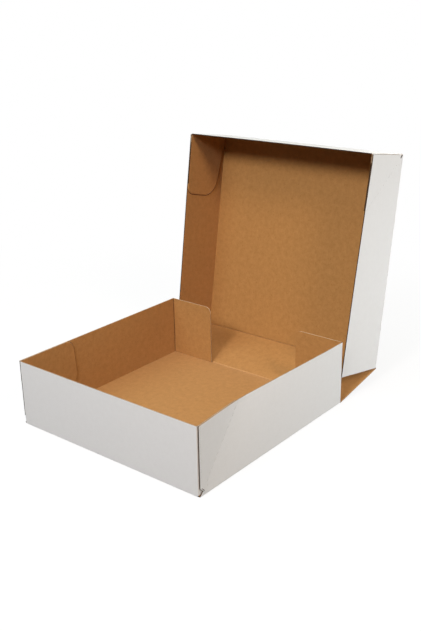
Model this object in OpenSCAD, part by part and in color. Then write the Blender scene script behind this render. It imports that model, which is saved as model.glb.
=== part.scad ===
// One-piece corrugated box with a hinged lid.
// A single blank of board is folded up and glued at its front corners.
// The tray stands on the table and the lid stands open behind it.

/* [Board] */
// Thickness of the corrugated board
board = 1.5; // [1.2:0.1:2.4]

/* [Tray] */
// Clear width between the side walls
inside_w = 356; // [260:1:500]
// Clear depth from the front wall to the rear flaps
inside_d = 356; // [260:1:500]
// Outside height of the tray
tray_h = 106.4; // [80:0.2:150]

/* [Lid] */
// Play between the lid's glue tabs and the tray, on each side
lid_play = 0.3; // [0.2:0.1:2]
// Gap between the tray's rim and the closed lid
lid_gap = 0.4; // [0.2:0.1:2]
// Height of the closed lid's rim above the table
lid_lift = 8.5; // [2:0.5:20]

/* [Glue tabs] */
// Length of the tray's glue tabs along the side walls
tray_tab_l = 113; // [90:1:130]
// Length of the lid's glue tabs along the side walls
lid_tab_l = 109; // [90:1:130]
// Radius of a tab's inner corner
tab_corner_r = 33; // [10:1:38]
// Radius of a tab's corner at the rim
tab_rim_r = 18; // [4:1:22]
// Rise of a tab's lower edge, in degrees
tab_taper = 10; // [0:1:14]
// How far the end of a tab slants back on its way to the rim
tab_slant = 4; // [0:0.5:15]
// Gap between a tab's lower edge and the panel, at the front corner
tab_foot_gap = 1; // [0.4:0.2:4]

/* [Rear flaps] */
// Length of a rear flap from its fold
flap_l = 87; // [50:1:110]
// Radius of a rear flap's free upper corner
flap_corner_r = 11; // [4:1:20]
// Gap between a rear flap and the floor panel
flap_floor_gap = 0.4; // [0.2:0.1:2]
// Gap between the closed back panel and what stands in front of it
rear_play = 0.4; // [0.2:0.1:1]

/* [Corner relief] */
// How far the relief cut bites into a side wall
relief_l = 7.5; // [5:0.5:14]
// Height of the relief cut
relief_h = 15; // [12:0.5:24]
// Height of the relief cut's point
relief_point_h = 7.5; // [4:0.5:11]

/* [Diagonal folds] */
// Slope of a diagonal fold from the panel, in degrees
diagonal_angle = 48; // [40:1:60]
// Width of the pressed line
score_w = 1.2; // [0.6:0.1:2.4]
// Depth of the pressed line
score_depth = 0.3; // [0.1:0.1:0.6]
// Distance from the relief cut's point to the start of the pressed line
score_start = 3; // [2:0.5:10]

/* [Pose] */
// Angle of the back panel above the table
back_angle = 11.8; // [2:0.2:60]
// Angle of the lid panel above the table
lid_angle = 81; // [70:0.5:92]

/* [Hidden] */

$fn = 48;
over = 1;

white_liner = "#f1efec";
kraft_liner = "#b5834f";

// Outside of the tray, between the outer faces of its walls
tray_w = inside_w + 2 * board;
tray_d = inside_d + 2 * board;

// Distance from the rear crease to what stands in front of the back panel
rear_clear = board + rear_play;

// The crease lines lie on the outer face, and each panel is cut back from them
// so that two panels meet at a mitre when the fold is square
crease_cut = board + rear_play / 2;

// Length of the floor panel and of the lid panel, from front face to crease
floor_l = tray_d + rear_clear;
lid_l = floor_l + lid_play + board;

// The lid's glue tabs lie between its side walls and the tray
lid_inside_w = tray_w + 2 * (board + lid_play);
lid_w = lid_inside_w + 2 * board;

// The back panel is as long as the closed box is high
closed_h = tray_h + lid_gap + board;
lid_h = closed_h - lid_lift;

// Rear crease of the tray, with the origin under the middle of the tray
rear_y = tray_d / 2 + rear_clear;

// Points on an arc from one angle to another
function arc(centre, r, from, to, steps = 16) =
    [for (i = [0 : steps]) let (a = from + (to - from) * i / steps) centre + r * [cos(a), sin(a)]];

// Extrudes a shape drawn in Y and Z along X, from x = 0
module along_x(length)
    rotate([90, 0, 90]) linear_extrude(length) children();

// The same, to both sides of x = 0
module across(width)
    translate([-width / 2, 0, 0]) along_x(width) children();

// A wall with two square folds, seen along the folds
module channel_2d(inside, leg) {
    translate([-inside / 2, 0]) square([inside, board]);
    for (side = [0, 1]) mirror([side, 0]) translate([inside / 2, board]) {
        square([board, leg - board]);
        mirror([0, 1]) intersection() {
            circle(r = board);
            square(board);
        }
    }
}

// A glue tab seen from the side, with the front face at zero
module tab_outline_2d(height, tab_l) {
    foot = board + tab_foot_gap;
    centre_s = tab_l - tab_corner_r;
    touch_s = centre_s + tab_corner_r * sin(tab_taper);
    centre_z = foot + touch_s * tan(tab_taper) + tab_corner_r * cos(tab_taper);
    rise = height - centre_z;
    rim_r = min(tab_rim_r, rise);
    slant = atan2(tab_slant, rise);
    rim_s = tab_l - rim_r / cos(slant) - (rise - rim_r) * tan(slant);
    polygon(concat(
        [[0, foot]],
        arc([centre_s, centre_z], tab_corner_r, tab_taper - 90, 0),
        arc([rim_s, height - rim_r], rim_r, slant, 90),
        [[0, height]]
    ));
}

// The bite out of a side wall at the front corner, with the front face at zero
module relief_2d()
    polygon([[0, 0], [relief_l, relief_point_h], [0, relief_h]]);

// The diagonal fold of a side wall, from near the relief cut's point to the rim
module score_2d(height)
    translate([relief_l, relief_point_h]) rotate(diagonal_angle) translate([score_start, -score_w / 2])
        square([height / sin(diagonal_angle), score_w]);

// Floor and side walls, with the rear crease at y = 0 and the front towards -Y
module floor_and_sides(inside, height, length, end) {
    difference() {
        translate([0, -end, 0]) rotate([90, 0, 0])
            linear_extrude(length - board - end) channel_2d(inside, height);
        for (side = [0, 1]) mirror([side, 0, 0]) translate([inside / 2, -length, 0]) {
            along_x(board + over) relief_2d();
            translate([board - score_depth, 0, 0]) along_x(score_depth + over) score_2d(height);
        }
    }
}

// Front wall folded up from the floor, with its two glue tabs
module front_and_tabs(inside, height, length, tab_l) {
    between = inside - 2 * board;
    translate([0, -length, 0]) {
        across(between) {
            translate([0, board]) square([board, height - board]);
            intersection() {
                translate([board, board]) circle(r = board);
                square(board);
            }
        }
        intersection() {
            linear_extrude(height) channel_2d(between, tab_l);
            across(inside + over) tab_outline_2d(height, tab_l);
        }
    }
}

// The strip of panel behind the side walls, cut back to its crease
module crease_strip(width, end)
    across(width) polygon([[-end, 0], [0, 0], [-crease_cut, board], [-end, board]]);

// One half of the box: a panel, three walls and the glued front corners
module half_box(inside, height, length, end, tab_l) {
    floor_and_sides(inside, height, length, end);
    front_and_tabs(inside, height, length, tab_l);
    crease_strip(inside + 2 * board, end);
}

// Rounded rear edge of the tray's side walls, where the rear flaps fold in
module flap_folds()
    for (side = [0, 1]) mirror([side, 0, 0])
        translate([inside_w / 2, -rear_clear - board, board]) linear_extrude(tray_h - board)
            intersection() {
                circle(r = board);
                square(board);
            }

module tray()
    color(white_liner) translate([0, rear_y, 0]) {
        half_box(inside_w, tray_h, floor_l, rear_clear + board, tray_tab_l);
        flap_folds();
    }

// A rear flap, drawn on the right and folded square across the back
module rear_flap() {
    flap_z = board + flap_floor_gap;
    flap_h = tray_h - flap_z;
    color(kraft_liner) translate([inside_w / 2 - flap_l, rear_y - rear_clear, flap_z])
        rotate([90, 0, 0]) linear_extrude(board) difference() {
            square([flap_l, flap_h]);
            translate([0, flap_h - flap_corner_r]) difference() {
                square(flap_corner_r);
                translate([flap_corner_r, 0]) circle(r = flap_corner_r);
            }
        }
}

module right_rear_flap()
    rear_flap();

module left_rear_flap()
    mirror([1, 0, 0]) rear_flap();

// Moves a shape from the tray's rear crease to the standing back panel
module on_back_panel()
    translate([0, rear_y, 0]) rotate([back_angle, 0, 0]) children();

module back_panel()
    color(kraft_liner) on_back_panel() intersection() {
        across(lid_w)
            polygon([[0, 0], [closed_h, 0], [closed_h - crease_cut, board], [crease_cut, board]]);
        linear_extrude(board)
            polygon([
                [-tray_w / 2, 0], [tray_w / 2, 0], [lid_w / 2, closed_h], [-lid_w / 2, closed_h]
            ]);
    }

module lid()
    color(white_liner) on_back_panel() translate([0, closed_h, 0])
        rotate([lid_angle - back_angle, 0, 0]) mirror([0, 1, 0])
            half_box(lid_inside_w, lid_h, lid_l, rear_clear, lid_tab_l);

tray();
left_rear_flap();
right_rear_flap();
back_panel();
lid();
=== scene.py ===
"""Looks of the one-piece corrugated box.

White liner outside, kraft liner inside, open fluting at the cut edges, and near-black painted
shade in the seams, slits and hollows of the board.
"""
import math

import bpy
import numpy as np
from mathutils import Matrix, Vector


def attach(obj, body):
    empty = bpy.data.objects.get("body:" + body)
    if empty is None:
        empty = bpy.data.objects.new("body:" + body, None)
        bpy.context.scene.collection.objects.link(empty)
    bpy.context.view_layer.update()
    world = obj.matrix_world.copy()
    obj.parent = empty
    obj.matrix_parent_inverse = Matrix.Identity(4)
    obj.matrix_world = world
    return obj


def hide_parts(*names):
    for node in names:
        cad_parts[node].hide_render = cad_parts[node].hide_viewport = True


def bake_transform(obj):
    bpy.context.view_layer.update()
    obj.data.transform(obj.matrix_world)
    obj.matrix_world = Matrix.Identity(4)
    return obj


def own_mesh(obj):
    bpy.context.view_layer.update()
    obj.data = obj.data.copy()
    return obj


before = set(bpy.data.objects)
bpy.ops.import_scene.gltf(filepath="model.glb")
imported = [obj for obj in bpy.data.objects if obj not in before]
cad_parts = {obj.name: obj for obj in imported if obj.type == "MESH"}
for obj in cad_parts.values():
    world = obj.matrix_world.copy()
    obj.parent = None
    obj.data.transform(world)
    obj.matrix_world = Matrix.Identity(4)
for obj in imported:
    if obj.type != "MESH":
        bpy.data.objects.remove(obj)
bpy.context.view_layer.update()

MM = 0.001

# Sizes of the box in millimetres, the same as in the solids
BOARD = 1.5
INSIDE_W = 356.0
INSIDE_D = 356.0
TRAY_H = 106.4
LID_PLAY = 0.3
LID_GAP = 0.4
LID_LIFT = 8.5
REAR_PLAY = 0.4
TRAY_TAB_L = 113.0
LID_TAB_L = 109.0
TAB_CORNER_R = 33.0
TAB_TAPER = math.radians(10)
TAB_RIM_R = 18.0
TAB_SLANT = 4.0
TAB_FOOT = BOARD + 1.0
FLAP_L = 87.0
FLAP_CORNER_R = 11.0
FLAP_FOOT = BOARD + 0.4
RELIEF_L = 7.5
RELIEF_H = 15.0
RELIEF_POINT_H = 7.5
DIAGONAL = math.radians(48)
DIAGONAL_START = 3.0
BACK_ANGLE = math.radians(11.8)
LID_ANGLE = math.radians(81)

TRAY_W = INSIDE_W + 2 * BOARD
TRAY_D = INSIDE_D + 2 * BOARD
REAR_CLEAR = BOARD + REAR_PLAY
CREASE = BOARD + REAR_PLAY / 2
FLOOR_L = TRAY_D + REAR_CLEAR
LID_L = FLOOR_L + LID_PLAY + BOARD
LID_INSIDE_W = TRAY_W + 2 * (BOARD + LID_PLAY)
LID_W = LID_INSIDE_W + 2 * BOARD
BACK_L = TRAY_H + LID_GAP + BOARD
LID_H = BACK_L - LID_LIFT
REAR_Y = TRAY_D / 2 + REAR_CLEAR
TRAY_END = REAR_CLEAR + BOARD
LID_END = REAR_CLEAR

# Make-up of the board and of its cut edges, in millimetres
LINER = 0.26
MEDIUM = 0.2
FLUTE_PITCH = 3.3
EDGE_DEPTH = 1.0        # how far the cut edges are hollow between the liners
SEAM_EDGE_DEPTH = 3.0   # the same at the side walls' front edges
WAVE_SET_BACK = 0.04    # how far the fluting ends behind the liners
FLUTE_SET_BACK = 0.08   # the same for a flute that lies open along the edge
FLUTE_SLOPE = 0.75      # how deep its far side is, as a share of the hollow

# Small departures of the folded board from the flat solids, in millimetres
TRAY_BEND = 8.5         # lean of the tray's right wall at its diagonal fold
BEND_TAIL = 40.0        # length of that wall's straight rear end
BEND_ROUND = 0.4        # roundness of the bend, as a share of its height
BEND_MIN_RUN = 1.0      # shortest way from the wall's front edge to the bend
LID_LEAN = 1.4          # lean of the lid's left wall at its free corner
LID_SPRUNG = 8.5        # the same of its right wall
LEAN_CURVE = 0.35       # how much earlier than a straight line the lean grows
ROOT_L = 15.0           # length of the side walls' roots at the front corners
TRAY_SEAM = 0.8         # how far a glue tab is set in beside its fold
LID_SEAM = 0.3
SEAM_REACH = 3.5        # how far along the tab that goes
TAB_GLUE = 0.02         # gap between a glue tab and its side wall
TRAY_BOW = -0.25        # bow of the front walls, outwards where it is below zero
LID_BOW = -0.5
RIM_WAVE = 0.22         # waviness of the rim of the lid's front wall
RIM_WAVES = ((1.0, 0.021, 0.0), (0.6, 0.057, 1.3))  # share, radians per mm, phase
RIM_WAVE_END = 8        # how late the waviness ends towards the corners

# The strips beside a glue tab's free edge: first pressed board, then a line of painted shadow
TRAY_CRUSH_AND_SHADOW = (1.0, 0.65)
LID_CRUSH_AND_SHADOW = (1.8, 1.0)
CRUSH_LIFT = (0.12, 0.05)

# Cut dashes along the diagonal folds, in millimetres
DASH_L = 5.0
DASH_GAP = 4.5
DASH_LEAD = 0.5
DASH_HALF_W = 0.9
DASH_GUARD = 0.7
DASH_HALF_SLIT = 0.05
DASH_DEPTH = 0.32
DASH_RIM_GAP = 1.0
DASH_MIN_S = ROOT_L + 3 * DASH_HALF_W

# Pressed grooves inside the long creases and the rear flaps' folds
CREASE_PROFILE = ([0, 0.35, 0.7, 0.88, 1], [0.2, 0.42, 0.86, 0.97, 1])
FLAP_GROOVE = 1.05
FLAP_POCKET = ((0, -FLAP_GROOVE), (0.45, -1.0), (0.85, -0.2), (0.85, 0.85),
               (-0.2, 0.85), (-1.0, 0.45), (-FLAP_GROOVE, 0))
FLAP_BLEND = 1.1 * BOARD

# Lines of points in the meshes
WAVE_STEPS = 8
FOLD_STEPS = 6
WALL_LOW_ROW = 4.5
WALL_ROOT = 4
WALL_FRONT = 4
WALL_REAR = 18
DASH_COLUMN = WALL_ROOT + WALL_FRONT
SLIT_COLUMN = DASH_COLUMN + 1
TAB_ROOT = (0, 1, 2, 3.5, 5, 7, 10)
TAB_MAIN_S = 20
TAB_MAIN = 22
TAB_TURN = 12
TAB_ROWS = 14
FRONT_COLUMNS = 41
FRONT_ROWS = 12
PANEL_LINES = 13
BACK_ROWS = 7
CREASE_LINES = 13
FLAP_TURN = 9
FLAP_MAIN = 11
FLAP_ROWS = 8
SAME_POINT = 1e-7

# Where the lid and the rear flaps lie in the blank, for the grain of the paper
LID_BLANK = 600.0
FLAP_BLANK = 40

# Material slots, in the order of MATERIALS
# CREASE_HIGHLIGHT is kraft painted lighter along the creases and dashes, as a highlight
# PAINTED_SHADE is near-black brown, painted where the board lies in shade: seams, slits, fold ends
# and hollows
WHITE, KRAFT, FLUTE, FOLD, PAINTED_SHADE, CREASE_HIGHLIGHT = range(6)


def unit(v):
    v = np.asarray(v, float)
    return v / np.linalg.norm(v)


class Board:
    """Mesh of one piece of board, drawn in local millimetres and placed in the frame in metres."""

    def __init__(self, origin=(0, 0, 0), axes=((1, 0, 0), (0, 1, 0), (0, 0, 1)), blank_v=0.0):
        self.origin = np.array(origin, float)
        self.axes = np.array(axes, float)
        self.blank_v = blank_v
        self.points, self.faces, self.slots, self.smooth, self.uvs = [], [], [], [], []

    def world(self, points):
        return (self.origin + np.asarray(points, float) @ self.axes) * MM

    def grid(self, points, facing, slot, uv, smooth=False):
        """Adds a sheet of quads whose normals look along facing; uv is in blank millimetres."""
        points = np.asarray(points, float)
        uv = np.asarray(uv, float)
        nu, nv = points.shape[:2]
        world = self.world(points.reshape(-1, 3)).reshape(nu, nv, 3)
        facing = np.asarray(facing, float) @ self.axes
        across = np.cross(world[1:, 1:] - world[:-1, :-1], world[:-1, 1:] - world[1:, :-1])
        flip = float((across.reshape(-1, 3) @ facing).sum()) < 0
        slots = np.broadcast_to(np.asarray(slot), (nu - 1, nv - 1))
        base = len(self.points)
        self.points.extend(map(tuple, world.reshape(-1, 3)))
        for i in range(nu - 1):
            for j in range(nv - 1):
                corners = [(i, j), (i + 1, j), (i + 1, j + 1), (i, j + 1)]
                if flip:
                    corners.reverse()
                kept = [c for n, c in enumerate(corners)
                        if np.abs(world[c] - world[corners[n - 1]]).max() > SAME_POINT]
                if len(kept) < 3:
                    continue
                self.faces.append([base + c[0] * nv + c[1] for c in kept])
                self.slots.append(int(slots[i, j]))
                self.smooth.append(smooth)
                self.uvs.extend((uv[c][0] * MM, (uv[c][1] + self.blank_v) * MM) for c in kept)

    def strip(self, a, b, facing, slot, uv_a, uv_b, smooth=False):
        """One row of quads between two lines."""
        self.grid(np.stack([a, b]), facing, slot, np.stack([uv_a, uv_b]), smooth)

    def fold(self, start, end, first, second, uv_start, uv_end, uv_round):
        """Quarter round along a fold's axis, from direction first to direction second."""
        start, end, first, second, uv_start, uv_end, uv_round = (
            np.asarray(v, float) for v in (start, end, first, second, uv_start, uv_end, uv_round))
        turn = np.linspace(0, math.pi / 2, FOLD_STEPS + 1)
        out = BOARD * (np.cos(turn)[:, None] * first + np.sin(turn)[:, None] * second)
        along = (turn * BOARD)[:, None] * uv_round
        self.grid(np.stack([start + out, end + out], axis=1), first + second, FOLD,
                  np.stack([uv_start + along, uv_end + along], axis=1), True)
        uv_a, uv_b = (np.broadcast_to(uv, (len(turn), 2)) for uv in (uv_start, uv_end))
        # The two ends of the fold are painted shade, near-black, where the fold's end lies in
        # shade
        for cap, facing in ((start, start - end), (end, end - start)):
            self.strip(cap + out, np.broadcast_to(cap, out.shape), facing, PAINTED_SHADE, uv_a, uv_b)

    def cut_edge(self, outer, inner, inward, crossing, depth=EDGE_DEPTH, paper=FLUTE):
        """Cut edge between two faces: the ends of the liners, and the fluting between them.

        Where the edge crosses the flutes their waves show, and where it runs along them
            one flute lies open. Paper is the slot of all its faces: cut paper, or painted shade
            where the edge lies deep in shade.
        """
        outer, inner = np.asarray(outer, float), np.asarray(inner, float)
        inward = np.broadcast_to(np.asarray(inward, float), outer.shape)
        steps = np.linalg.norm(np.diff((outer + inner) / 2, axis=0), axis=1)
        run = np.concatenate([[0], np.cumsum(steps)])
        if crossing:
            count = max(2, int(run[-1] / FLUTE_PITCH * WAVE_STEPS))
            at = np.linspace(0, run[-1], count + 1)
            outer, inner, inward = (
                np.stack([np.interp(at, run, line[:, k]) for k in range(3)], axis=1)
                for line in (outer, inner, inward))
            run = at
        through = inner - outer
        facing, side = -inward.mean(axis=0), through.mean(axis=0)
        uv = np.stack([run, np.zeros_like(run)], axis=1)

        def line(share, deep):
            return outer + through * np.reshape(share, (-1, 1)) + inward * deep

        def add(a, b, towards, width, smooth=False):
            self.strip(line(*a), line(*b), towards, paper, uv, uv + (0, width), smooth)

        near = LINER / BOARD
        far = 1 - near
        add((0, 0), (near, 0), facing, LINER)
        add((far, 0), (1, 0), facing, LINER)
        add((near, 0), (near, depth), side, depth)
        add((near, depth), (far, depth), facing, BOARD)
        add((far, depth), (far, 0), -side, depth)
        if crossing:
            half = MEDIUM / BOARD / 2
            wave = 0.5 + (0.5 - near - half) * np.sin(2 * math.pi * run / FLUTE_PITCH)
            low, high = wave - half, wave + half
            add((low, WAVE_SET_BACK), (high, WAVE_SET_BACK), facing, MEDIUM)
            add((low, WAVE_SET_BACK), (low, depth), -side, depth, True)
            add((high, WAVE_SET_BACK), (high, depth), side, depth, True)
        else:
            add((near, FLUTE_SET_BACK), (far, depth * FLUTE_SLOPE), facing, BOARD)

    def build(self, name):
        mesh = bpy.data.meshes.new(name)
        mesh.from_pydata(self.points, [], self.faces)
        for made in MATERIALS:
            mesh.materials.append(made)
        mesh.polygons.foreach_set("material_index", self.slots)
        mesh.polygons.foreach_set("use_smooth", self.smooth)
        layer = mesh.uv_layers.new(name="blank")
        layer.data.foreach_set("uv", np.array(self.uvs, np.float32).ravel())
        mesh.validate(clean_customdata=False)
        mesh.update()
        obj = bpy.data.objects.new(name, mesh)
        bpy.context.collection.objects.link(obj)
        return obj


def relief_front(z):
    """Where a side wall starts at height z, behind the bite of the relief cut."""
    if z <= RELIEF_POINT_H:
        bite = RELIEF_L * z / RELIEF_POINT_H
    else:
        bite = RELIEF_L * (RELIEF_H - z) / (RELIEF_H - RELIEF_POINT_H)
    return max(BOARD, bite)


def diagonal_s(z):
    """Where the diagonal fold is at height z."""
    return RELIEF_L + max(0.0, z - RELIEF_POINT_H) / math.tan(DIAGONAL)


def wall_rows(height):
    """Heights of a side wall's rows, with the depth of the dashes there and the dashes' spans."""
    ends, depths, spans = [], [], []
    reach = (height - RELIEF_POINT_H) / math.sin(DIAGONAL)
    at = DIAGONAL_START
    while at + DASH_L < reach - DASH_RIM_GAP:
        stops = [RELIEF_POINT_H + math.sin(DIAGONAL) * d
                 for d in (at, at + DASH_LEAD, at + DASH_L - DASH_LEAD, at + DASH_L)]
        ends += stops
        depths += [0.0, DASH_DEPTH, DASH_DEPTH, 0.0]
        spans.append((stops[0], stops[-1]))
        at += DASH_L + DASH_GAP
    fixed = [BOARD, WALL_LOW_ROW, RELIEF_POINT_H, RELIEF_H - BOARD, RELIEF_H, height]
    rows = sorted(set(fixed + ends))
    return np.array(rows), np.interp(rows, ends, depths), spans


def wall_bend(s, z, height, length, bend):
    """How far a side wall leans in at its diagonal fold."""
    front, fold, tail = relief_front(z), diagonal_s(z), length - BEND_TAIL
    rising = (s - front) / max(BEND_MIN_RUN, fold - front)
    falling = (tail - s) / (tail - fold)
    turn = np.clip(0.5 + 0.5 * (falling - rising) / BEND_ROUND, 0, 1)
    share = falling + (rising - falling) * turn - BEND_ROUND * turn * (1 - turn)
    return -bend * np.maximum(0, share) * max(0.0, z - BOARD) / (height - BOARD)


def wall_lean(s, z, height, start, back, lean):
    """How far a side wall leans in on its way to its free rear corner."""
    share = np.clip((s - start) / (back - start), 0, 1)
    grown = (1 + LEAN_CURVE) * share - LEAN_CURVE * share ** 2
    return -lean * grown * max(0.0, z - BOARD) / (height - BOARD)


def tab_corner(tab_l):
    """Middle of a glue tab's lower corner, and where its lower edge turns into that corner."""
    centre_s = tab_l - TAB_CORNER_R
    touch_s = centre_s + TAB_CORNER_R * math.sin(TAB_TAPER)
    centre_z = TAB_FOOT + touch_s * math.tan(TAB_TAPER) + TAB_CORNER_R * math.cos(TAB_TAPER)
    return centre_s, centre_z, touch_s


def tab_rim(tab_l, height):
    """Where a glue tab's edge leaves the rim, and the slant of its end."""
    rise = height - tab_corner(tab_l)[1]
    slant = math.atan2(TAB_SLANT, rise)
    rim_s = tab_l - TAB_RIM_R / math.cos(slant) - (rise - TAB_RIM_R) * math.tan(slant)
    return rim_s, slant


def tab_span(s, tab_l, height):
    """Lower and upper edge of a glue tab at distance s from the front face."""
    centre_s, centre_z, touch_s = tab_corner(tab_l)
    rim_s, slant = tab_rim(tab_l, height)
    if s <= touch_s:
        low = TAB_FOOT + s * math.tan(TAB_TAPER)
    else:
        low = centre_z - math.sqrt(max(0.0, TAB_CORNER_R ** 2 - (s - centre_s) ** 2))
    if s <= rim_s:
        return low, height
    if s <= rim_s + TAB_RIM_R * math.cos(slant):
        return low, height - TAB_RIM_R + math.sqrt(max(0.0, TAB_RIM_R ** 2 - (s - rim_s) ** 2))
    return low, centre_z + (tab_l - s) / math.tan(slant)


def rim_wave(x):
    """How far the rim of the lid's front wall is from straight, never above it."""
    waves = sum(share * np.sin(x * rate + phase) for share, rate, phase in RIM_WAVES)
    return RIM_WAVE * waves - sum(share for share, _, _ in RIM_WAVES) * RIM_WAVE


class HalfBox:
    """A panel, three walls and two glued front corners: the tray or the lid.

    It is drawn in x, distance s from the front face, and height z. The lid gives a second
    board, which takes its sprung right wall and the glue tab on it.
    """

    def __init__(self, board, inside, height, length, end, tab_l, sprung=None):
        self.board, self.sprung = board, sprung
        self.half, self.height, self.length = inside / 2, height, length
        self.back = length - end
        self.tab_l = tab_l
        self.is_lid = sprung is not None
        self.seam = LID_SEAM if self.is_lid else TRAY_SEAM
        self.bow = LID_BOW if self.is_lid else TRAY_BOW
        self.crush_and_shadow = LID_CRUSH_AND_SHADOW if self.is_lid else TRAY_CRUSH_AND_SHADOW
        # The lid's rims, tab rims included, are painted shade, near-black, where they lie in
        # shade; the tray's rims are cut paper
        self.rim_edge_slot = PAINTED_SHADE if self.is_lid else FLUTE
        self.wall_x = self.half - BOARD - self.seam

        for side in (1, -1):
            self.add_side_wall(side)
            root_rim = self.add_glue_tab(side)
            self.add_front_corner(side, root_rim)
        self.add_front_wall()
        self.add_panel()

    def rear_board(self, side):
        """The board that takes a side wall behind its root."""
        return self.sprung if self.is_lid and side > 0 else self.board

    def shift(self, side, s, z):
        """How far a side wall is from its place in the solids."""
        bend = TRAY_BEND if side > 0 and not self.is_lid else 0.0
        lean, start = 0.0, 0.0
        if self.is_lid:
            lean, start = (LID_SPRUNG, ROOT_L) if side > 0 else (LID_LEAN, self.tab_l)
        return (wall_bend(s, z, self.height, self.length, bend)
                + wall_lean(s, z, self.height, start, self.back, lean))

    def add_side_wall(self, side):
        """A side wall, with the dashes of its diagonal fold pressed into it."""
        board, rear = self.board, self.rear_board(side)
        rows, dash_depth, spans = wall_rows(self.height)
        outer, inner, uv = [], [], []
        for z, depth in zip(rows, dash_depth):
            fold = max(diagonal_s(z), DASH_MIN_S)
            before, after = fold - DASH_HALF_W, fold + DASH_HALF_W
            stops = np.concatenate([
                np.linspace(relief_front(z), ROOT_L, WALL_ROOT),
                np.linspace(ROOT_L, before - DASH_GUARD, WALL_FRONT + 1)[1:],
                [before, fold - DASH_HALF_SLIT, fold + DASH_HALF_SLIT, after],
                np.linspace(after + DASH_GUARD, self.back, WALL_REAR)])
            press = np.zeros_like(stops)
            if fold == diagonal_s(z):
                press[SLIT_COLUMN:SLIT_COLUMN + 2] = depth
            x = self.half + self.shift(side, stops, z)
            heights = np.full_like(stops, z)
            outer.append(np.stack([x + BOARD - press, stops, heights], axis=1))
            inner.append(np.stack([x + press / 2, stops, heights], axis=1))
            uv.append(np.stack([side * (self.half + heights), stops], axis=1))
        mirror = np.array([side, 1, 1])
        outer, inner, uv = np.array(outer) * mirror, np.array(inner) * mirror, np.array(uv)

        middles = (rows[1:] + rows[:-1]) / 2
        dashed = np.array([any(a < m < b for a, b in spans) for m in middles])
        cut = np.zeros((len(middles), outer.shape[1] - 1), bool)
        cut[:, DASH_COLUMN:DASH_COLUMN + 3] = dashed[:, None]
        outer_slots = np.where(cut, FOLD, WHITE)
        # The middle of each dash is a thin slit of painted shade, near-black
        outer_slots[dashed, SLIT_COLUMN] = PAINTED_SHADE
        # Inside, the dashes take the lighter crease colour, a painted highlight
        inner_slots = np.where(cut, CREASE_HIGHLIGHT, KRAFT)

        # The root stays with the front corner
        last = WALL_ROOT - 1
        for part, cells, lines in ((board, slice(0, last), slice(0, WALL_ROOT)),
                                   (rear, slice(last, None), slice(last, None))):
            part.grid(outer[:, lines], (side, 0, 0), outer_slots[:, cells], uv[:, lines], True)
            part.grid(inner[:, lines], (-side, 0, 0), inner_slots[:, cells], uv[:, lines], True)
        for part, lines in ((board, slice(0, WALL_ROOT)), (rear, slice(last, None))):
            part.cut_edge(outer[-1, lines], inner[-1, lines], (0, 0, -1), False,
                          paper=self.rim_edge_slot)
        # The side walls' front edges, deep in the corner seams, are painted shade, near-black
        board.cut_edge(outer[:, 0], inner[:, 0], (0, 1, 0), True, SEAM_EDGE_DEPTH, PAINTED_SHADE)
        if self.is_lid:
            rear.cut_edge(outer[:, -1], inner[:, -1], (0, -1, 0), True)
        x = side * self.half
        board.fold((x, BOARD, BOARD), (x, self.back, BOARD), (0, 0, -1), (side, 0, 0),
                   (x, BOARD), (x, self.back), (side, 0))

    def add_glue_tab(self, side):
        """A glue tab behind its side wall, set in beside its own fold; gives its root's rim."""
        board, rear = self.board, self.rear_board(side)
        rim_s, _ = tab_rim(self.tab_l, self.height)
        turn = np.linspace(0, math.pi / 2, TAB_TURN + 1)
        turned = rim_s + (self.tab_l - rim_s) * np.sin(turn)[1:]
        root = BOARD + np.array(TAB_ROOT)
        stations = np.concatenate(
            [root, [ROOT_L], np.linspace(TAB_MAIN_S, rim_s, TAB_MAIN), turned])
        shares = np.linspace(0, 1, TAB_ROWS)
        outer, uv = [], []
        for s in stations:
            low, high = tab_span(s, self.tab_l, self.height)
            z = low + (high - low) * shares
            set_in = self.seam * math.exp(-(s - BOARD) / SEAM_REACH)
            x = self.half - TAB_GLUE - set_in + np.array([self.shift(side, s, h) for h in z])
            along = np.full_like(z, s)
            outer.append(np.stack([x, along, z], axis=1))
            uv.append(np.stack([side * (self.half + along), -z], axis=1))
        outer, uv = np.array(outer) * np.array([side, 1, 1]), np.array(uv)
        through = np.array([side * BOARD, 0, 0])
        inner = outer - through

        # Its free edge is pressed down to the wall, with a line of painted shadow on the wall
        # beside it
        free = np.concatenate([inner[:, 0], inner[::-1, -1][:TAB_TURN + 1]])
        centre = inner.reshape(-1, 3).mean(axis=0)
        away = np.array([unit((0, p[1] - centre[1], p[2] - centre[2])) for p in free])
        edges = [free]
        for width, lift in zip(np.cumsum(self.crush_and_shadow), CRUSH_LIFT):
            edge = free + width * away
            edge[:, 2] = np.clip(edge[:, 2], BOARD + lift, self.height)
            edge[:, 0] = [side * (self.half - lift + self.shift(side, p[1], p[2])) for p in edge]
            edges.append(edge)

        for part, span in ((board, slice(0, len(root) + 1)), (rear, slice(len(root), None))):
            part.grid(outer[span], (side, 0, 0), WHITE, uv[span], True)
            part.grid(inner[span], (-side, 0, 0), KRAFT, uv[span], True)
            for a, b, slot in zip(edges, edges[1:], (KRAFT, PAINTED_SHADE)):
                part.strip(a[span], b[span], (-side, 0, 0), slot, a[span, 1:], b[span, 1:])
        rim = outer[:-TAB_TURN, -1][::-1]
        main_rim = rim[:-len(root)]
        rear.cut_edge(main_rim, main_rim - through, (0, 0, -1), True, paper=self.rim_edge_slot)
        return rim[-len(root) - 1:]

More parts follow.
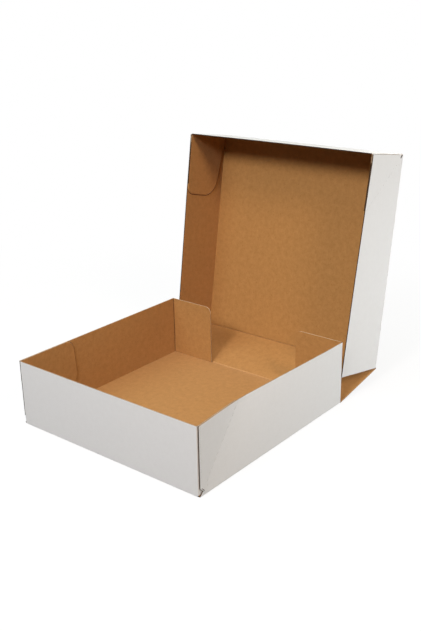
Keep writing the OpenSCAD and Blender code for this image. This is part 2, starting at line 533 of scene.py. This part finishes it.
    def add_front_corner(self, side, root_rim):
        """Upright fold between the front wall and a glue tab, and the panel's end below it."""
        board, height, x = self.board, self.height, side * self.wall_x
        board.fold((x, BOARD, TAB_FOOT), (x, BOARD, height), (0, -1, 0), (side, 0, 0),
                   (x, -TAB_FOOT), (x, -height), (side, 0))
        turn = np.linspace(math.pi / 2, 0, FOLD_STEPS + 1)
        arc = np.stack([side * (self.wall_x + BOARD * np.sin(turn)),
                        BOARD - BOARD * np.cos(turn), np.full_like(turn, height)], axis=1)
        axis = np.broadcast_to([x, BOARD, height], arc.shape)
        board.cut_edge(np.concatenate([root_rim, arc]),
                       np.concatenate([root_rim - (side * BOARD, 0, 0), axis]), (0, 0, -1), True)
        # The panel's end below the relief bite is painted shade, near-black
        end = np.array([[x, BOARD, 0], [side * self.half, BOARD, 0]])
        board.strip(end, end + (0, 0, BOARD), (0, -1, 0), PAINTED_SHADE, end[:, :2], end[:, :2])

    def add_front_wall(self):
        board, wall_x = self.board, self.wall_x
        shares = np.linspace(0, 1, FRONT_ROWS)
        outer = []
        for x in np.linspace(-wall_x, wall_x, FRONT_COLUMNS):
            across = x / wall_x
            wave = rim_wave(x) if self.is_lid else 0
            top = self.height + wave * (1 - across ** RIM_WAVE_END)
            z = BOARD + (top - BOARD) * shares
            s = self.bow * (1 - across ** 2) * shares
            outer.append(np.stack([np.full_like(z, x), s, z], axis=1))
        outer = np.array(outer)
        inner = outer + (0, BOARD, 0)
        uv = np.stack([outer[:, :, 0], -outer[:, :, 2]], axis=2)
        board.grid(outer, (0, -1, 0), WHITE, uv, True)
        board.grid(inner, (0, 1, 0), KRAFT, uv, True)
        board.cut_edge(outer[:, -1], inner[:, -1], (0, 0, -1), True, paper=self.rim_edge_slot)
        board.fold((-wall_x, BOARD, BOARD), (wall_x, BOARD, BOARD), (0, 0, -1), (0, -1, 0),
                   (-wall_x, 0), (wall_x, 0), (0, -1))

    def add_panel(self):
        """The panel, and the ends of its strip behind the side walls."""
        board, up, crease_s = self.board, (0, 0, BOARD), self.length - CREASE
        x, s = np.meshgrid(np.linspace(-self.half, self.half, PANEL_LINES),
                           np.linspace(BOARD, crease_s, PANEL_LINES), indexing="ij")
        flat = np.stack([x, s, np.zeros_like(x)], axis=2)
        board.grid(flat, (0, 0, -1), WHITE, flat[:, :, :2])
        board.grid(flat + up, (0, 0, 1), KRAFT, flat[:, :, :2])
        for side in (1, -1):
            ends = side * self.half, side * (self.half + BOARD)
            lip = np.array([[end, self.back, 0] for end in ends])
            far = lip + (0, crease_s - self.back, 0)
            lip_uv, far_uv = lip[:, :2], far[:, :2]
            board.strip(lip, far, (0, 0, -1), WHITE, lip_uv, far_uv)
            board.strip(lip + up, far + up, (0, 0, 1), KRAFT, lip_uv, far_uv)
            board.strip(lip, lip + up, (0, -1, 0), FLUTE, lip_uv, far_uv)
            edge = np.stack([lip[1], far[1]])
            board.cut_edge(edge, edge + up, (-side, 0, 0), False)


def crease_piece(name, origin, along, turn, half_width, blank_v):
    """The strip of board across a long crease, and the points where its bend starts and ends.

    The outer liner bends round the crease, and the inner side is a pressed groove, painted lighter
    as a highlight.
    """
    board = Board(blank_v=blank_v)
    share = np.linspace(-1, 1, CREASE_LINES)
    v = share * CREASE
    step = (share + 1) / 2
    angles = along + turn * step * step * (3 - 2 * step)
    ends = (-half_width, half_width)

    def placed(w):
        y = origin[0] + v * np.cos(angles) - w * np.sin(angles)
        z = origin[1] + v * np.sin(angles) + w * np.cos(angles)
        return np.stack([np.stack([np.full_like(y, x), y, z], axis=1) for x in ends])

    outer = placed(np.zeros_like(share))
    inner = placed(BOARD * np.interp(np.abs(share), *CREASE_PROFILE))
    uv = np.stack([np.stack([np.full_like(v, x), v], axis=1) for x in ends])
    middle = along + turn / 2
    up = np.array([0, -math.sin(middle), math.cos(middle)])
    board.grid(outer, -up, FOLD, uv, True)
    # The groove is painted lighter, as a highlight along the crease
    board.grid(inner, up, CREASE_HIGHLIGHT, uv, True)
    for k, side in ((0, -1), (1, 1)):
        board.strip(outer[k], inner[k], (side, 0, 0), FLUTE, uv[k], uv[k])
    return board.build(name), outer[0, 0], outer[0, -1]


def crease_blend(piece, start, end):
    start, end = start * MM, end * MM
    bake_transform(piece)


def back_panel_board():
    ca, sa = math.cos(BACK_ANGLE), math.sin(BACK_ANGLE)
    board = Board((0, REAR_Y, 0), ((1, 0, 0), (0, ca, sa), (0, -sa, ca)), FLOOR_L)
    vs = np.linspace(CREASE, BACK_L - CREASE, BACK_ROWS)
    halves = TRAY_W / 2 + (LID_W - TRAY_W) / 2 * vs / BACK_L
    shares = np.linspace(-1, 1, PANEL_LINES)
    flat = np.array([[(h * t, v, 0) for t in shares] for v, h in zip(vs, halves)])
    board.grid(flat, (0, 0, -1), WHITE, flat[:, :, :2])
    board.grid(flat + (0, 0, BOARD), (0, 0, 1), KRAFT, flat[:, :, :2])
    for k, side in ((-1, 1), (0, -1)):
        board.cut_edge(flat[:, k], flat[:, k] + (0, 0, BOARD), (-side, 0, 0), False)
    return board.build("back_panel_board")


def flap_board(side, name):
    """A rear flap across the back, in x, y and z of the frame."""
    board = Board(blank_v=FLOOR_L + FLAP_BLANK * side)
    rear, root = TRAY_D / 2, INSIDE_W / 2
    free = root - FLAP_L
    turn = np.linspace(0, math.pi / 2, FLAP_TURN)
    xs = np.concatenate([free + FLAP_CORNER_R * (1 - np.cos(turn)),
                         np.linspace(free + FLAP_CORNER_R, root, FLAP_MAIN + 1)[1:]])
    tops = np.concatenate([TRAY_H - FLAP_CORNER_R * (1 - np.sin(turn)),
                           np.full(FLAP_MAIN, TRAY_H)])
    shares = np.linspace(0, 1, FLAP_ROWS)

    def face(y, root_x):
        reach = np.minimum(xs, root_x)
        return np.array([[(side * x, y, FLAP_FOOT + (top - FLAP_FOOT) * t) for t in shares]
                         for x, top in zip(reach, tops)])

    outer, inner = face(rear, root), face(rear - BOARD, root - FLAP_GROOVE)
    uv = outer[:, :, [2, 0]]
    board.grid(outer, (0, 1, 0), WHITE, uv)
    board.grid(inner, (0, -1, 0), KRAFT, uv)
    board.cut_edge(outer[:, -1], inner[:, -1], (0, 0, -1), False)
    board.cut_edge(outer[0], inner[0], (side, 0, 0), True)
    board.cut_edge(outer[:, 0], inner[:, 0], (0, 0, 1), False)
    return board.build(name)


def flap_fold(side, name):
    """The fold between a side wall and its rear flap, and the points where it starts and ends.

    The outer liner goes round the corner, and the inner side is a pressed groove, painted
    near-black as shade.
    """
    board = Board(blank_v=FLOOR_L)
    root, y, ends = INSIDE_W / 2, TRAY_D / 2 - BOARD, (FLAP_FOOT, TRAY_H)
    x = side * root
    board.fold((x, y, FLAP_FOOT), (x, y, TRAY_H), (side, 0, 0), (0, 1, 0),
               (x, 0), (x, TRAY_H), (0, 1))
    lines = np.array([[(side * (root + a), y + b, z) for a, b in FLAP_POCKET] for z in ends])
    uv = np.array([[(z, k) for k in range(len(FLAP_POCKET))] for z in ends])
    # The groove is painted shade, near-black
    board.grid(lines, (-side, -1, 0), PAINTED_SHADE, uv, True)
    start = (side * (root + FLAP_BLEND), y - FLAP_BLEND, TRAY_H / 2)
    end = (side * (root - FLAP_BLEND), y + FLAP_BLEND, TRAY_H / 2)
    return board.build(name), start, end


# Materials. The grain of the paper is in cells per metre of the blank, u and then v
CLOUD_GRAIN = (120.0, 105.0)
FLECK_GRAIN = (310.0, 250.0)
FIBRE_GRAIN = (2600.0, 420.0)
SPECK_GRAIN = (700.0, 300.0)
CRACK_GRAIN = (900.0, 900.0)
FUZZ_GRAIN = (1400.0, 1400.0)
CLOUD_SHARE, FLECK_SHARE, FIBRE_SHARE = 0.4, 0.35, 0.25
SPECK_EDGE = 0.06
GLOSS_SPREAD = 0.07
WAVE_TURNS = 20  # Blender's wave texture makes this many radians per unit


class Tree:
    """The nodes of a material or of the world, with short ways to add some."""

    def __init__(self, owner):
        owner.use_nodes = True
        self.nodes, self.links = owner.node_tree.nodes, owner.node_tree.links

    def feed(self, node, inputs):
        """Links or sets a node's inputs, by name or number."""
        for key, value in inputs.items():
            if isinstance(value, bpy.types.NodeSocket):
                self.links.new(value, node.inputs[key])
            else:
                node.inputs[key].default_value = value
        return node

    def add(self, kind, inputs):
        return self.feed(self.nodes.new(kind), inputs)

    def blank(self):
        node = self.nodes.new("ShaderNodeUVMap")
        node.uv_map = "blank"
        return node.outputs["UV"]

    def noise(self, vector, grain, detail, roughness):
        spread = self.add("ShaderNodeMapping", {"Vector": vector, "Scale": (*grain, 1.0)})
        node = self.add("ShaderNodeTexNoise", {"Vector": spread.outputs["Vector"], "Scale": 1.0,
                                               "Detail": detail, "Roughness": roughness})
        return node.outputs["Fac"]

    def washboard(self, vector):
        """Height of the flutes that show faintly through a liner; they run along v."""
        node = self.nodes.new("ShaderNodeTexWave")
        node.wave_type, node.bands_direction, node.wave_profile = "BANDS", "X", "SIN"
        self.feed(node, {"Vector": vector, "Distortion": 0.35, "Detail": 1.0,
                         "Detail Scale": 0.05,
                         "Scale": 2 * math.pi / (WAVE_TURNS * FLUTE_PITCH * MM)})
        return node.outputs["Fac"]

    def ramp(self, fac, stops):
        node = self.add("ShaderNodeValToRGB", {"Fac": fac})
        band = node.color_ramp
        for k, (at, colour) in enumerate(stops):
            stop = band.elements[k] if k < 2 else band.elements.new(at)
            stop.position = at
            stop.color = (*colour, 1)
        return node.outputs["Color"]

    def mix(self, fac, a, b, blend="MIX"):
        node = self.nodes.new("ShaderNodeMix")
        node.data_type = "RGBA"
        node.blend_type = blend
        return self.feed(node, {0: fac, 6: a, 7: b}).outputs[2]

    def maths(self, operation, a, b):
        node = self.nodes.new("ShaderNodeMath")
        node.operation = operation
        return self.feed(node, {0: a, 1: b}).outputs[0]

    def bump(self, height, distance, strength, **below):
        node = self.add("ShaderNodeBump", {"Height": height, "Distance": distance,
                                           "Strength": strength, **below})
        return node.outputs["Normal"]

    def seen(self):
        """1 for what the camera, a reflection or glass sees, and 0 for the light on the box."""
        rays = self.nodes.new("ShaderNodeLightPath").outputs
        mirrored = self.maths("MAXIMUM", rays["Is Glossy Ray"], rays["Is Transmission Ray"])
        return self.maths("MAXIMUM", rays["Is Camera Ray"], mirrored)

    def show(self, fac, a, b, output):
        """Shows shader b over shader a."""
        both = self.add("ShaderNodeMixShader", {0: fac, 1: a.outputs[0], 2: b.outputs[0]})
        self.feed(self.nodes[output], {"Surface": both.outputs[0]})


def rgba(colour):
    return (*colour, 1)


def paper(name, make, *values):
    """A material whose shader's inputs come from one of the functions below."""
    made = bpy.data.materials.new(name)
    tree = Tree(made)
    tree.feed(tree.nodes["Principled BSDF"], make(tree, tree.blank(), *values))
    return made


def liner(tree, uv, stops, speck, speck_share, roughness, specular, relief, fuzz):
    """Paper liner: cloudy colour, flecks of pulp, fibres along the flutes, a faint washboard."""
    cloud = tree.noise(uv, CLOUD_GRAIN, 2.0, 0.5)
    flecks = tree.noise(uv, FLECK_GRAIN, 3.0, 0.65)
    fibres = tree.noise(uv, FIBRE_GRAIN, 3.0, 0.6)
    fine = tree.maths("ADD", tree.maths("MULTIPLY", flecks, FLECK_SHARE),
                      tree.maths("MULTIPLY", fibres, FIBRE_SHARE))
    pulp = tree.maths("ADD", tree.maths("MULTIPLY", cloud, CLOUD_SHARE), fine)
    spots = tree.ramp(tree.noise(uv, SPECK_GRAIN, 1.0, 0.4),
                      [(speck_share, (0, 0, 0)), (speck_share + SPECK_EDGE, (1, 1, 1))])
    gloss = tree.add("ShaderNodeMapRange", {"Value": fibres, "To Min": roughness - GLOSS_SPREAD,
                                            "To Max": roughness + GLOSS_SPREAD})
    waves = tree.bump(tree.washboard(uv), 0.03 * MM, relief)
    return {"Base Color": tree.mix(spots, tree.ramp(pulp, stops), rgba(speck), "MULTIPLY"),
            "Roughness": gloss.outputs["Result"], "Specular IOR Level": specular,
            "Sheen Weight": fuzz, "Sheen Roughness": 0.4,
            "Normal": tree.bump(fibres, 0.05 * MM, 0.5, Normal=waves)}


def fold(tree, uv, stops):
    """Liner stretched round a fold, with fine cracks in it; for the kraft creases the lighter
    colour is also a painted highlight.
    """
    crack = tree.noise(uv, CRACK_GRAIN, 5.0, 0.65)
    return {"Base Color": tree.ramp(crack, stops), "Normal": tree.bump(crack, 0.12 * MM, 0.6),
            "Roughness": 0.68, "Specular IOR Level": 0.25}


def fluting(tree, uv, stops):
    """Cut fluting: fuzzy, uneven ends of paper."""
    fuzz = tree.noise(uv, FUZZ_GRAIN, 4.0, 0.6)
    return {"Base Color": tree.ramp(fuzz, stops), "Normal": tree.bump(fuzz, 0.1 * MM, 0.7),
            "Roughness": 0.92, "Specular IOR Level": 0.1}


MATERIALS = [
    paper("white_liner", liner, [(0.35, (0.722, 0.718, 0.709)), (0.65, (0.748, 0.745, 0.737))],
          (0.97, 0.965, 0.955), 0.72, 0.6, 0.3, 0.35, 0.0),
    paper("kraft_liner", liner, [(0.33, (0.359, 0.178, 0.057)), (0.5, (0.412, 0.208, 0.068)),
                                 (0.67, (0.464, 0.238, 0.079))],
          (0.8, 0.75, 0.68), 0.68, 0.55, 0.06, 0.3, 0.3),
    paper("cut_paper", fluting, [(0.3, (0.36, 0.24, 0.14)), (0.7, (0.56, 0.42, 0.28))]),
    paper("white_fold", fold, [(0.32, (0.68, 0.672, 0.655)), (0.6, (0.75, 0.746, 0.736))]),
    # Near-black brown: painted shade for the seams, slits, gaps and hollows of the board
    paper("painted_shade_flutes", fluting, [(0.3, (0.05, 0.03, 0.018)), (0.7, (0.095, 0.057, 0.033))]),
    # Kraft painted lighter along the creases and dashes: a painted highlight over the fine cracks
    paper("kraft_crease_highlight", fold, [(0.32, (0.41, 0.21, 0.078)), (0.6, (0.48, 0.26, 0.102))]),
]

# Pieces
tray_board = Board((0, -TRAY_D / 2, 0))
HalfBox(tray_board, INSIDE_W, TRAY_H, FLOOR_L, TRAY_END, TRAY_TAB_L)
tray = tray_board.build("tray_board")

lid_y = REAR_Y + BACK_L * math.cos(BACK_ANGLE)
lid_z = BACK_L * math.sin(BACK_ANGLE)
lid_d = np.array([0, math.cos(LID_ANGLE), math.sin(LID_ANGLE)])
lid_n = np.array([0, -math.sin(LID_ANGLE), math.cos(LID_ANGLE)])
lid_front = np.array([0, lid_y, lid_z]) + LID_L * lid_d
lid_board, wall_board = (Board(lid_front, ((1, 0, 0), -lid_d, lid_n), LID_BLANK)
                         for _ in range(2))
HalfBox(lid_board, LID_INSIDE_W, LID_H, LID_L, LID_END, LID_TAB_L, wall_board)
lid = lid_board.build("lid_board")
lid_wall = wall_board.build("lid_right_wall")

back = back_panel_board()
left_flap = flap_board(-1, "left_rear_flap_board")
right_flap = flap_board(1, "right_rear_flap_board")

for piece, body in ((tray, "tray"), (lid, "lid"), (back, "back_panel"),
                    (left_flap, "left_rear_flap"), (right_flap, "right_rear_flap")):
    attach(piece, body)
    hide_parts(body)
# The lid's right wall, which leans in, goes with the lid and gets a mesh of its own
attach(lid_wall, "lid")
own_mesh(lid_wall)

rear_crease, start, end = crease_piece("rear_crease", (REAR_Y, 0), 0.0, BACK_ANGLE,
                                       TRAY_W / 2, FLOOR_L)
crease_blend(rear_crease, start, end)
lid_crease, start, end = crease_piece("lid_crease", (lid_y, lid_z), BACK_ANGLE,
                                      LID_ANGLE - BACK_ANGLE, LID_W / 2, FLOOR_L + BACK_L)
crease_blend(lid_crease, start, end)
for side, body in ((-1, "left_rear_flap"), (1, "right_rear_flap")):
    piece, start, end = flap_fold(side, body + "_fold")
    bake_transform(piece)

# Camera fitted to the photo's corners, for a frame of 421 by 631
CAMERA_AT = (0.8365098, -0.9450139, 0.6392342)
CAMERA_RIGHT = (0.7756531, 0.6308583, -0.0194958)
CAMERA_DOWN = (0.2078000, -0.2844172, -0.9359092)
CAMERA_FORWARD = (-0.5959710, 0.7218896, -0.3517014)
CAMERA_SENSOR = 36.0
CAMERA_LENS = 49.968
CAMERA_CLIP_END = 200.0
camera_data = bpy.data.cameras.new("camera")
camera_data.sensor_width = CAMERA_SENSOR
camera_data.sensor_fit = "AUTO"
camera_data.lens = CAMERA_LENS
camera_data.clip_end = CAMERA_CLIP_END
camera = bpy.data.objects.new("camera", camera_data)
bpy.context.collection.objects.link(camera)
right, up, back_way = Vector(CAMERA_RIGHT), -Vector(CAMERA_DOWN), -Vector(CAMERA_FORWARD)
camera.matrix_world = Matrix(((right.x, up.x, back_way.x, CAMERA_AT[0]),
                              (right.y, up.y, back_way.y, CAMERA_AT[1]),
                              (right.z, up.z, back_way.z, CAMERA_AT[2]),
                              (0, 0, 0, 1)))
bpy.context.scene.camera = camera

# Lamps: place in metres, size across, power and colour; all look at the middle of the box
AIM = Vector((0, 0.12, 0.15))
LAMPS = [
    ("key_front", (0.25, -1.725, 1.584), 0.55, 33.5, (1.0, 0.955, 0.955)),
    ("front_left", (-0.5548, -1.625, 1.637), 1.0, 12.5, (0.88, 1.0, 1.06)),
    ("key_right", (1.7988, -0.5673, 1.6546), 0.6, 23.5, (1.0, 0.80, 0.63)),
    ("high_right", (0.7289, -0.9524, 2.2366), 0.6, 5.0, (1.0, 0.9, 0.75)),
    ("high_left", (-1.3, -0.05, 1.75), 1.0, 8.0, (0.86, 1.0, 1.02)),
    ("overhead", (-0.15, 0.0, 2.2), 1.6, 12.0, (0.92, 1.0, 0.94)),
    ("low_right", (0.85, 0.42, 0.08), 0.5, 4.4, (0.89, 0.97, 1.02)),
    ("rear_right", (1.2476, 1.7817, 1.0643), 0.9, 6.0, (0.9, 0.97, 1.03)),
    ("rear_low", (-0.4, 1.7, 0.22), 0.4, 10.0, (1.0, 0.97, 0.94)),
    ("left_low", (-1.7, 0.3, 0.2), 0.35, 9.0, (1.0, 0.97, 0.94)),
]
for name, place, size, power, tint in LAMPS:
    lamp_data = bpy.data.lights.new(name, "AREA")
    lamp_data.shape = "DISK"
    lamp_data.size = size
    lamp_data.energy = power
    lamp_data.color = tint
    lamp = bpy.data.objects.new(name, lamp_data)
    bpy.context.collection.objects.link(lamp)
    lamp.location = place
    lamp.rotation_euler = (Vector(place) - AIM).to_track_quat("Z", "Y").to_euler()

# World: plain dim light, white where the camera or a reflection sees it
AMBIENT = 0.005
PURE_WHITE = (1, 1, 1, 1)
world = bpy.data.worlds.new("world")
bpy.context.scene.world = world
tree = Tree(world)
dim = tree.feed(tree.nodes["Background"], {"Color": PURE_WHITE, "Strength": AMBIENT})
white = tree.add("ShaderNodeBackground", {"Color": PURE_WHITE, "Strength": 1.0})
tree.show(tree.seen(), dim, white, "World Output")

# Floor: pale and matt; most of what the camera sees of it is plain white, the rest keeps the
# shadow. It sends little light back up to the box
FLOOR_SIZE = 120.0
FLOOR_Z = -0.0005
FLOOR_GLOW_NEAR = 0.86
FLOOR_FADE = (0.4, 1.1)
FLOOR_BOUNCE = (0.1, 0.1, 0.1)
FLOOR_SEEN = (0.88, 0.88, 0.88)
floor_mesh = bpy.data.meshes.new("floor")
h = FLOOR_SIZE / 2
floor_mesh.from_pydata([(-h, -h, 0), (h, -h, 0), (h, h, 0), (-h, h, 0)], [], [(0, 1, 2, 3)])
floor = bpy.data.objects.new("floor", floor_mesh)
bpy.context.collection.objects.link(floor)
floor.location.z = FLOOR_Z
floor_material = bpy.data.materials.new("floor")
tree = Tree(floor_material)
seen = tree.seen()
reach = tree.nodes.new("ShaderNodeVectorMath")
reach.operation = "LENGTH"
tree.feed(reach, {0: tree.nodes.new("ShaderNodeTexCoord").outputs["Object"]})
fade = tree.nodes.new("ShaderNodeMapRange")
fade.interpolation_type = "SMOOTHSTEP"
tree.feed(fade, {"Value": reach.outputs["Value"], "From Min": FLOOR_FADE[0],
                 "From Max": FLOOR_FADE[1], "To Min": FLOOR_GLOW_NEAR, "To Max": 1.0})
matt = tree.feed(tree.nodes["Principled BSDF"], {
    "Base Color": tree.mix(seen, rgba(FLOOR_BOUNCE), rgba(FLOOR_SEEN)),
    "Roughness": 0.9, "Specular IOR Level": 0.0})
glow = tree.add("ShaderNodeEmission", {"Strength": 1.0})
tree.show(tree.maths("MULTIPLY", seen, fade.outputs["Result"]), matt, glow, "Material Output")
floor_mesh.materials.append(floor_material)

bpy.context.scene.view_settings.view_transform = "Standard"
